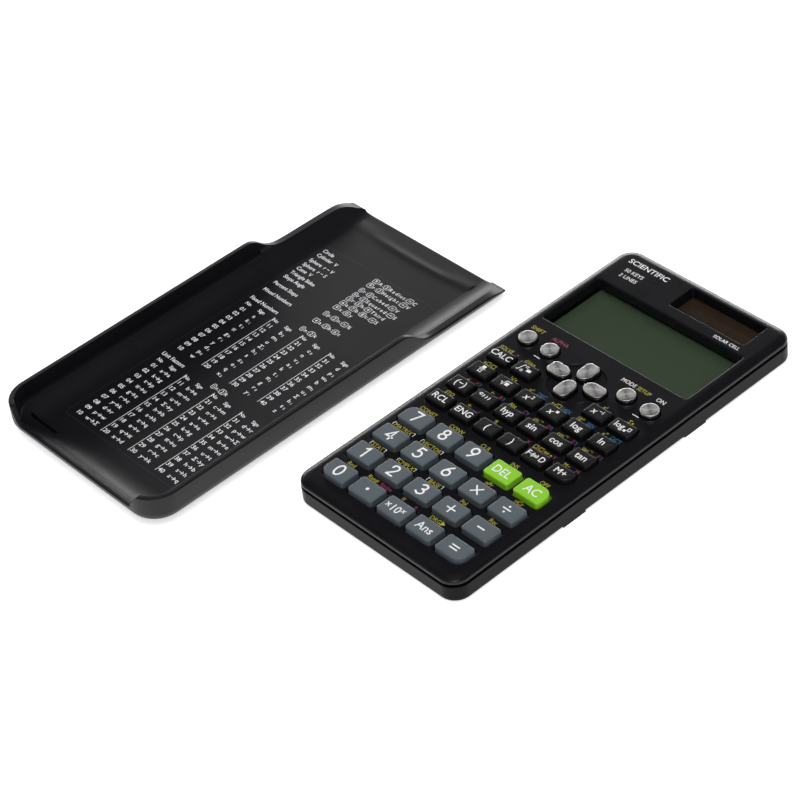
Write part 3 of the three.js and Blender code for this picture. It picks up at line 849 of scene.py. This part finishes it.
def build_rear_case():
    r = REAR_EDGE
    wall = case_outline(REAR_WALL, LUG_STATIONS)
    rings = [ring(wall, REAR_FLOOR), ring(wall, REAR_RIM), rear_ring(0.15, REAR_RIM),
             rear_ring(0.0, REAR_RIM - 0.15), rear_ring(0.0, 4.0), rear_ring(0.0, r + 0.2)]
    for k in range(7):
        a = math.radians(15 * k)
        rings.append(rear_ring(r * (1 - math.cos(a)), r * (1 - math.sin(a))))
    shapes = [skin(*rings)]
    wide = [circle(x, y, 1.9, 28) for x, y in POSTS]
    narrow = [circle(x, y, 1.0, 28) for x, y in POSTS]
    for outer, inner in zip(wide, narrow):
        shapes.append(skin(ring(outer, 0.0), ring(outer, 0.9), ring(inner, 0.9), ring(inner, REAR_FLOOR)))
    shapes.append(plate([(x, y) for x, y, _ in rings[-1]], wide, 0.0))
    shapes.append(plate(wall, narrow, REAR_FLOOR))
    piece("rear_shell", merged(*shapes), "rear", "calculator", "rear_case")
    for index, (x, y) in enumerate(POSTS):
        piece(f"case_screw_{index + 1}", screw_shape(x, y), "screw", "calculator")


build_rear_case()


# ---- display and solar cell

def build_panels():
    pane = outline(WINDOW, [0.6] * 4, steps=4)
    edge = grow(pane, -0.08)
    window = [ring(edge, 4.4), ring(pane, 4.48), ring(pane, 5.22), ring(edge, 5.3)]
    piece("display_pane", rings_shape(window), "window", "calculator", "display_window")
    screen = outline(LCD, [0.4] * 4, steps=3)
    layers = [ring(screen, 2.3), ring(screen, 4.2), ring(grow(screen, -0.1), 4.34)]
    piece("lcd_glass", rings_shape(layers), "lcd", "calculator", "lcd_panel")
    cell = outline(SOLAR_CELL, [0.5] * 4, steps=4)
    layers = [ring(cell, 4.2), ring(cell, 5.2), ring(grow(cell, -0.1), 5.3)]
    piece("solar_glass", rings_shape(layers), "solar", "calculator", "solar_cell")


build_panels()


# ---- cover

# the side walls' height by y: tall over the keys, a shoulder, then low to the far lip
SIDE_HEIGHTS = ((-200, COVER_H), (-10.7, COVER_H), (-8.9, 12.15), (-7.1, 11.35), (-5.3, 10.1), (-3.7, 8.6),
                (-2.0, 7.3), (-0.2, 6.35), (1.6, 5.75), (3.6, 5.4), (8, 5.25), (15, 5.2), (27, 5.1),
                (31, 5.0), (33.3, 4.75), (35.2, 4.25), (37.2, 3.5), (38.8, 2.8), (39.8, 2.6))
RAIL_END = -5.6


def between(table, at):
    for (x0, y0), (x1, y1) in zip(table, table[1:]):
        if at <= x1:
            return y0 + (y1 - y0) * max(0.0, (at - x0) / (x1 - x0))
    return table[-1][1]


def smooth_step(low, high, at):
    t = min(max((at - low) / (high - low), 0.0), 1.0)
    return t * t * (3 - 2 * t)


def wall_height(x, y):
    """Height of the cover's wall at a point of its outer outline."""
    from_side = min(x - COVER_X0, COVER_X1 - x)
    if from_side > 5 and y < COVER_Y0 + COVER_R:
        return COVER_H - (COVER_H - 6.0) * smooth_step(7.4, 12.4, from_side)
    return between(SIDE_HEIGHTS, y)


def inner_inset(z, rail):
    """How far the inside of the wall stands in from the outside, by height."""
    arc = [(COVER_FLOOR, COVER_BASIN), (1.72, 10.9), (2.0, 9.2), (2.45, 7.4), (3.1, 5.9), (3.9, 4.5),
           (4.7, 3.45), (5.1, 3.05)]
    if rail:
        wall = [(5.35, 2.95), (5.55, 2.55), (5.62, 1.75), (5.75, 1.6), (6.8, 1.6), (6.95, 1.75), (7.1, 2.0),
                (13, 2.0)]
    else:
        wall = [(5.6, 2.6), (6.2, 2.2), (7.1, 2.0), (13, 2.0)]
    return between(arc + wall, z)


INNER_LEVELS = (11.6, 9.5, 7.1, 6.95, 6.8, 5.75, 5.62, 5.55, 5.35, 5.1, 4.7, 3.9, 3.1, 2.45, 2.0, 1.72,
                COVER_FLOOR)
RIM_ROUND = 0.55
CORNER_STEPS = 32


def lip_droop(y):
    """How far the last half millimetre of the far lip bends down."""
    return 0.35 * max(0.0, (y - (COVER_Y1 - 0.5)) / 0.5) ** 2


def cover_section(x, y):
    """(inset, z) of the wall's section, from the flat underside over the rim to the floor."""
    rail = y < RAIL_END
    end = max(0.0, y - (COVER_Y1 - 2.0))
    pull = 2.0 - math.sqrt(max(4.0 - end * end, 0.0))
    droop = lip_droop(y)
    height = wall_height(x, y) - droop
    spring = height - RIM_ROUND
    outer = []
    wide, tall = COVER_BEND
    for k in range(9):
        z = min(tall * (1 - math.cos(math.radians(11.25 * k))), spring)
        inset = wide * (1 - math.sqrt(max(0.0, 1 - (1 - z / tall) ** 2)))
        outer.append((max(inset, pull), z + droop * (k < 4)))
    base = outer[-1][0]
    outer.append((base, spring))
    for a in map(math.radians, (30, 60, 90)):
        outer.append((base + RIM_ROUND * (1 - math.cos(a)), spring + RIM_ROUND * math.sin(a)))
    top = height - 0.22
    lip = inner_inset(top, rail)
    rim = [(lip - 0.22, height), (lip - 0.11, height - 0.03), (lip - 0.03, height - 0.11)]
    inner = [(inner_inset(min(z, top), rail), min(z - droop, top)) for z in INNER_LEVELS]
    return outer + rim + [(lip, top)] + inner


def side_stations():
    ys = [-110.0, -100.0, -85.0, -70.0, -55.0, -40.0, -25.0, -14.0, -12.0]
    ys += [-11.0 + 0.6 * k for k in range(24)]
    ys += [4.5, 6.5, 9.0, 14.0, 20.0, 25.0, 28.0, 29.5, 30.5, 31.5, 32.5, 33.5, 34.5, 35.5, 36.5, 37.2,
           37.75, 38.2, 38.6, 39.0, 39.25, 39.5, 39.65, COVER_Y1]
    return sorted(set(round(y, 3) for y in ys + [RAIL_END - 0.01, RAIL_END + 0.01]))


def floor_height(x, y):
    """The floor is flat but for a soft swell that crosses it before the far lip."""
    middle = (COVER_X0 + COVER_X1) / 2
    crest = 31.0 + 3.0 * smooth_step(16, 30, abs(x - middle))
    return COVER_FLOOR + 0.35 * math.exp(-((y - crest) / 1.5) ** 2)


def build_cover():
    ys = side_stations()
    width = COVER_X1 - COVER_X0
    margin = 12.9  # from the outside to the first and the last column of the floor
    xs = [COVER_X0 + margin, *(COVER_X0 + width * k / 12 for k in range(3, 10)), COVER_X1 - margin]
    path = [("left", y) for y in reversed(ys)]
    path += [("corner_left", k) for k in range(CORNER_STEPS + 1)]
    path += [("near", x) for x in xs]
    path += [("corner_right", k) for k in range(CORNER_STEPS + 1)]
    path += [("right", y) for y in ys]

    def place(kind, at, inset):
        r = max(COVER_R - inset, 0.0)
        if kind == "left":
            return COVER_X0 + inset, at
        if kind == "right":
            return COVER_X1 - inset, at
        if kind == "near":
            return at, COVER_Y0 + inset
        reach = inset + r
        a = math.radians(90 * at / CORNER_STEPS)
        if kind == "corner_left":
            return (COVER_X0 + reach - r * math.cos(a), COVER_Y0 + reach - r * math.sin(a))
        return (COVER_X1 - reach + r * math.sin(a), COVER_Y0 + reach - r * math.cos(a))

    verts, faces = [], []
    for kind, at in path:
        x, y = place(kind, at, 0.0)
        section = cover_section(x, y)
        verts += [(*place(kind, at, inset), z) for inset, z in section]
    count = len(section)
    for i in range(len(path) - 1):
        for k in range(count - 1):
            a = i * count + k
            faces.append((a, a + count, a + count + 1, a + 1))
    # floor grid between the inner ends of the sections
    left_x, right_x = COVER_X0 + COVER_BASIN, COVER_X1 - COVER_BASIN
    columns = [left_x, *xs, right_x]
    rows = [COVER_Y0 + COVER_BASIN, *ys]
    start = len(verts)
    for y in rows:
        for x in columns:
            edge = min(x - left_x, right_x - x) < 1e-6 or y == rows[0]
            verts.append((x, y, (COVER_FLOOR if edge else floor_height(x, y)) - lip_droop(y)))
    wide = len(columns)
    for r in range(len(rows) - 1):
        for c in range(wide - 1):
            a = start + r * wide + c
            faces.append((a, a + 1, a + wide + 1, a + wide))
    # underside and far end
    faces.append(tuple(i * count for i in range(len(path))))
    last_row = start + (len(rows) - 1) * wide
    left_end = list(range(count))
    right_end = [(len(path) - 1) * count + k for k in range(count)]
    faces.append(tuple(left_end + list(range(last_row + 1, last_row + wide - 1)) + right_end[::-1]))
    shell = cut_block((verts, faces), (*COVER_SLOT, 0.5, 5.3))
    piece("cover_shell", shell, "cover", "cover", "slide_cover", smooth=38)


def cut_block(shape, block):
    """The shape with a block (x0, x1, y0, y1, z0, z1) cut out of it."""
    x0, x1, y0, y1, z0, z1 = block
    corners = [(x0, y0), (x1, y0), (x1, y1), (x0, y1)]
    base = mesh_object("cut_base", *shape, 1e-4)
    tool = mesh_object("cut_tool", *rings_shape([ring(corners, z0), ring(corners, z1)]), 1e-4)
    difference = base.modifiers.new("difference", "BOOLEAN")
    difference.operation, difference.object, difference.solver = "DIFFERENCE", tool, "EXACT"
    cut = evaluated_shape(base)
    for obj in (base, tool):
        bpy.data.meshes.remove(obj.data)
    return cut


build_cover()


def wall_ridge(side, y0, z0, y1, z1):
    """A thin ridge on the curved inside of the left (-1) or right (+1) wall."""
    rows = []
    for k in range(5):
        t = k / 4
        y, z = y0 + (y1 - y0) * t, z0 + (z1 - z0) * t
        inset = inner_inset(z, True)
        wall = COVER_X0 + inset if side < 0 else COVER_X1 - inset
        slope = (inner_inset(z - 0.2, True) - inner_inset(z + 0.2, True)) / 0.4
        length = math.hypot(1, slope)
        out_x, out_z = -side / length, slope / length
        corners = ((-0.1, -0.24), (0.16, 0), (-0.1, 0.24))
        rows.append([(wall + out_x * out, y + along, z + out_z * out) for out, along in corners])
    return rings_shape(rows)


def build_cover_details():
    ridges = []
    for side in (-1, 1):
        for y in (-10.5, -70.5):
            for step in (0.0, 1.5, 3.0):
                ridges.append(wall_ridge(side, y - 1.2 + step, 2.5, y + step, 3.3))
                ridges.append(wall_ridge(side, y + step, 3.35, y - 1.2 + step, 4.4))
    piece("cover_grip_ridges", merged(*ridges), "cover", "cover")
    frame_box = outline((-131.9, -71.6, -106.0, 16.6), [1.5] * 4, steps=5)
    border = stroke(frame_box, 0.1, PRINT_Z, True)
    piece("cover_print_border", border, "print_dim", "cover")


build_cover_details()


# ---- print on the calculator's face

FUNCTION_LABELS = {
    # the yellow label and its offset along x, then the second one, magenta or blue, and its offset
    "calculate": ("SOLVE", -2.4, "=", 2.9), "integral": ("d/dx▪", -2.3, ":", 1.9),
    "reciprocal": ("x!", -0.9), "log_base": ("Σ▪", -0.6), "fraction": ("▪□/□", -0.9),
    "square_root": ("³√▪", -0.7), "square": ("x³", -3.3, "DEC", 1.6),
    "power": ("▪√□", -2.9, "HEX", 1.8), "log": ("10ⁿ", -3.1, "BIN", 1.6),
    "natural_log": ("eⁿ", -3.2, "OCT", 1.6), "negative": ("∠", -0.9, "A", 2.9),
    "degrees": ("←", -0.9, "B", 2.9), "hyperbolic": ("Abs", -2.6, "C", 2.9),
    "sine": ("sin⁻¹", -2.0, "D", 2.9), "cosine": ("cos⁻¹", -2.0, "E", 2.9),
    "tangent": ("tan⁻¹", -2.0, "F", 2.9), "recall": ("STO", -0.6),
    "engineering": ("←", -2.2, "i", 2.6), "open_bracket": ("%", -0.9),
    "close_bracket": (",", -0.9, "X", 2.9), "decimal_swap": ("□/□⇔▪", -1.6, "Y", 3.7),
    "memory_add": ("M−", -1.9, "M", 2.7),
}
BLUE_WORDS = ("DEC", "HEX", "BIN", "OCT")
NUMBER_LABELS = {
    "7": "CONST", "8": "CONV", "9": "CLR", "delete": "INS", "all_clear": "OFF",
    "4": "MATRIX", "5": "VECTOR", "multiply": "nPr", "divide": "nCr",
    "1": "STAT", "2": "CMPLX", "3": "BASE", "add": "Pol", "subtract": "Rec",
    "0": "Rnd", "answer": "DRG►",
}
BRACKETED = ("4", "5", "1", "2", "3")
CYAN_CORNERS = ("negative", "degrees", "hyperbolic", "sine", "cosine", "tangent")


def corner_mark(x, y, size, side, z):
    """A thin bracket corner: side is -1 for the left end of a label, +1 for its right end."""
    low, high = sorted((x, x + 0.2 * side))
    inner, outer = sorted((x - size * side * 0.7, x))
    return merged(bar(low, high, y - size, y + size, z), bar(inner, outer, y + size - 0.18, y + size, z))


def face_labels():
    z = FACE_INK_Z
    shapes = {"yellow": [], "magenta": [], "blue": [], "white": []}

    def label(words, x, y, colour, height=1.6, stretch=0.92, weight=0.006):
        shapes[colour].append(text(words, x, y, height, z, weight, stretch))

    for name, (first, first_x, *second) in FUNCTION_LABELS.items():
        key = KEY["key_" + name]
        y = key.y + 4.7
        label(first, key.x + first_x, y, "yellow")
        if second:
            word, offset = second
            label(word, key.x + offset, y, "blue" if word in BLUE_WORDS else "magenta")
        if name in CYAN_CORNERS:
            shapes["blue"].append(corner_mark(key.x + 4.2, y - 0.1, 0.75, 1, z))
    for name, words in NUMBER_LABELS.items():
        key = KEY["key_" + name]
        y = key.y + 5.85
        label(words, key.x - 0.35, y, "yellow", 1.7)
        if name in BRACKETED:
            reach = 0.72 * len(words) + 0.5
            for side in (-1, 1):
                shapes["white"].append(corner_mark(key.x - 0.35 + side * reach, y + 0.1, 0.8, side, z))
    y = KEY["key_decimal_point"].y + 5.85
    label("Ran#", -16.9, y, "yellow", 1.7)
    label("RanInt", -10.7, y, "magenta", 1.6, 0.85)
    label("π", -2.3, y, "yellow", 1.7)
    label("e", 3.7, y, "magenta", 1.7)
    label("SHIFT", -29.8, 25.6, "yellow", 1.8)
    label("ALPHA", -19.1, 25.6, "magenta", 1.8)
    label("MODE", 13.3, 25.4, "white", 1.7)
    label("SETUP", 20.2, 25.4, "yellow", 1.7, 0.88)
    label("ON", 27.9, 25.3, "white", 1.8)
    for x, dash_y in ((-20.0, 14.8), (26.4, 14.5)):
        shapes["white"].append(bar(x - 1.4, x + 1.4, dash_y - 0.17, dash_y + 0.17, z))
    label("SCIENTIFIC", -23.2, 74.3, "white", 2.3, 1.12, 0.03)
    label("50 KEYS", -25.8, 69.4, "white", 1.7, 1.0)
    label("2 LINES", -25.8, 66.2, "white", 1.7, 1.0)
    label("SOLAR CELL", 24.0, 62.1, "white", 1.45, 1.0, 0.016)
    for colour, parts in shapes.items():
        piece("face_print_" + colour, merged(*parts), colour, "calculator")


face_labels()


# ---- print inside the cover

PRINT_LEFT, CHIP_LEFT = -130.4, -102.9
PRINT_LINES = (
    (13.8, "Circle", "9A:3Radius:=C"),
    (10.8, "Cylinder  V", "9r:2Height:=V"),
    (7.0, "Sphere  r − V", "1r:3Cubed:=V"),
    (3.8, "Sphere  r − S", "1r:2Squared:=S"),
    (0.8, "Cone  V", "3r:5h:4Third"),
    (-2.3, "Triangle Sides", "6a:7b:8c:=S"),
    (-5.5, "Slope Angle", "9x:0y"),
    (-10.3, "Percent Steps", "1p:2n:=%"),
    (-15.3, "Mixed Numbers", "4a:3b:6c"),
)
TABLES = (
    # title, its y, first row's y, pitch between rows, separators along x, their two ends along y
    ("Fixed Numbers", -21.5, -28.3, 3.21, (-114.4, -99.1, -84.1), (-58.3, -23.9)),
    ("Unit Factors", -62.9, -69.6, 3.67, (-114.3, -99.0, -83.9), (-104.0, -65.0)),
)
NUMBER_COLUMNS = (-127.4, -112.4, -97.1, -82.1)
VALUE_COLUMNS = (-120.7, -106.0, -90.7, -75.7)
SYMBOLS = "abcdeghkmnpqrstuvwxyzπΣ"


def shape_width(shape):
    xs = [v[0] for v in shape[0]]
    return min(xs), max(xs)


def chip_flow(code, x, y, height, z):
    """A row of boxed digits with plain letters between them, from the left edge x."""
    shapes = []
    for char in code:
        glyph = text(char, 0, 0, height, z, 0.016)
        low, high = shape_width(glyph)
        boxed = char.isdigit() or char == "="
        if boxed:
            width = high - low + 1.3
            x += width / 2
            shapes.append(text(char, x, y, height * 0.86, z, 0.016))
            edge = outline((x - width / 2, x + width / 2, y - 1.15, y + 1.15), [0.5] * 4, steps=2)
            shapes.append(stroke(edge, 0.09, z, True))
            x += width / 2 + 0.35
        else:
            x += (high - low) / 2 + 0.2
            shapes.append(text(char, x, y, height, z, 0.016))
            x += (high - low) / 2 + 0.4
    return merged(*shapes)


def table_print(title, title_y, first, pitch, separators, ends, paired):
    z = PRINT_Z
    shapes = [text(title, PRINT_LEFT, title_y, 1.75, z, 0.02, 0.95, align="left"),
              chip_flow("1n:2k", CHIP_LEFT, title_y, 1.6, z)]
    for column in range(4):
        shapes.append(text("No", NUMBER_COLUMNS[column] - 0.4, first + 3.4, 1.5, z, 0.02))
        shapes.append(text("Sign", VALUE_COLUMNS[column], first + 3.4, 1.5, z, 0.02))
        for row in range(10):
            index = column * 10 + row
            y = first - row * pitch
            shapes.append(text(f"{index + 1:02d}", NUMBER_COLUMNS[column], y, 1.75, z, 0.012, 1.08))
            letter, other = SYMBOLS[index * 7 % len(SYMBOLS)], SYMBOLS[index * 5 % len(SYMBOLS)]
            sign = f"{letter}→{other}" if paired else letter
            x = VALUE_COLUMNS[column]
            shapes.append(text(sign, x, y, 1.7, z, 0.012, 1.15))
            if not paired and index % 3:
                shapes.append(text(str(index % 4), x + 1.5, y - 0.6, 1.0, z, 0.014))
    for x in separators:
        shapes.append(bar(x - 0.09, x + 0.09, *ends, z))
    return merged(*shapes)


def print_cover():
    z = PRINT_Z
    header = []
    for y, words, chips in PRINT_LINES:
        header.append(text(words, PRINT_LEFT, y, 1.7, z, 0.02, 0.95, align="left"))
        header.append(chip_flow(chips, CHIP_LEFT, y, 1.6, z))
    piece("cover_print_header", merged(*header), "print", "cover")
    for index, row in enumerate(TABLES):
        piece(f"cover_print_table_{index + 1}", table_print(*row, paired=index == 1), "print", "cover")


print_cover()


# ---- carried-over inner parts

for node, material in (("circuit_board", "board"), ("rubber_key_mat", "mat"), ("lcd_ribbon", "ribbon"),
                       ("button_cell", "cell")):
    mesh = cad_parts[node].data
    mesh.materials.clear()
    mesh.materials.append(MATERIAL[material])


# ---- stage, light and camera

def look_at(obj, target, roll=0.0):
    direction = Vector(target) - obj.location
    turn = direction.to_track_quat("-Z", "Y").to_matrix().to_4x4()
    obj.matrix_world = Matrix.Translation(obj.location) @ turn @ Matrix.Rotation(roll, 4, "Z")


def add_camera():
    data = bpy.data.cameras.new("camera")
    data.sensor_width = 36
    data.lens = 118.6
    data.clip_start, data.clip_end = 0.05, 20
    camera = place_object("camera", data)
    camera.location = (0.49452, -0.44790, 0.58602)
    bpy.context.view_layer.update()
    look_at(camera, (-0.04838, -0.02413, 0.0), math.radians(-7.49))
    bpy.context.scene.camera = camera


def add_floor():
    mesh = bpy.data.meshes.new("floor")
    size = 6.0
    corners = [(-size, -size, 0), (size, -size, 0), (size, size, 0), (-size, size, 0)]
    mesh.from_pydata(corners, [], [(0, 1, 2, 3)])
    floor = place_object("floor", mesh)
    floor.location.z = -0.00002
    mat, *_ = new_material("pale_floor", {
        "Base Color": (0.80, 0.80, 0.80, 1), "Emission Color": (1, 1, 1, 1), "Emission Strength": 0.55,
        "Roughness": 0.8, "Specular IOR Level": 0.1})
    mesh.materials.append(mat)


def area_light(name, location, target, size, power, mirrored=True):
    data = bpy.data.lights.new(name, "AREA")
    data.shape = "RECTANGLE"
    data.size, data.size_y = size
    data.energy = power
    light = place_object(name, data)
    light.visible_glossy = mirrored
    light.location = location
    bpy.context.view_layer.update()
    look_at(light, target)


def add_world():
    """A white room: bright low down, like a lit backdrop, and darker overhead."""
    world = bpy.data.worlds.new("studio")
    world.use_nodes = True
    nodes, links = world.node_tree.nodes, world.node_tree.links
    coords = nodes.new("ShaderNodeTexCoord")
    split = nodes.new("ShaderNodeSeparateXYZ")
    links.new(coords.outputs["Generated"], split.inputs[0])
    shades = nodes.new("ShaderNodeValToRGB")
    stops = shades.color_ramp
    stops.elements[0].position, stops.elements[0].color = 0.0, (1, 1, 1, 1)
    stops.elements[1].position, stops.elements[1].color = 1.0, (0.2, 0.2, 0.2, 1)
    for position, level in ((0.09, 1.0), (0.22, 0.05), (0.85, 0.05)):
        stops.elements.new(position).color = (level, level, level, 1)
    links.new(split.outputs["Z"], shades.inputs[0])
    background = nodes["Background"]
    links.new(shades.outputs[0], background.inputs["Color"])
    background.inputs["Strength"].default_value = 1.6
    bpy.context.scene.world = world


add_camera()
add_floor()
add_world()
area_light("top_softbox", (0.1, -0.1, 1.6), (-0.04, 0, 0), (1.6, 1.6), 26, mirrored=False)
area_light("back_strip", (-1.65, 1.25, 0.38), (-0.04, 0, 0), (2.4, 0.4), 22)
area_light("front_fill", (1.3, -1.3, 1.5), (-0.04, 0, 0), (1.0, 1.0), 14)
bpy.context.scene.view_settings.view_transform = "Standard"
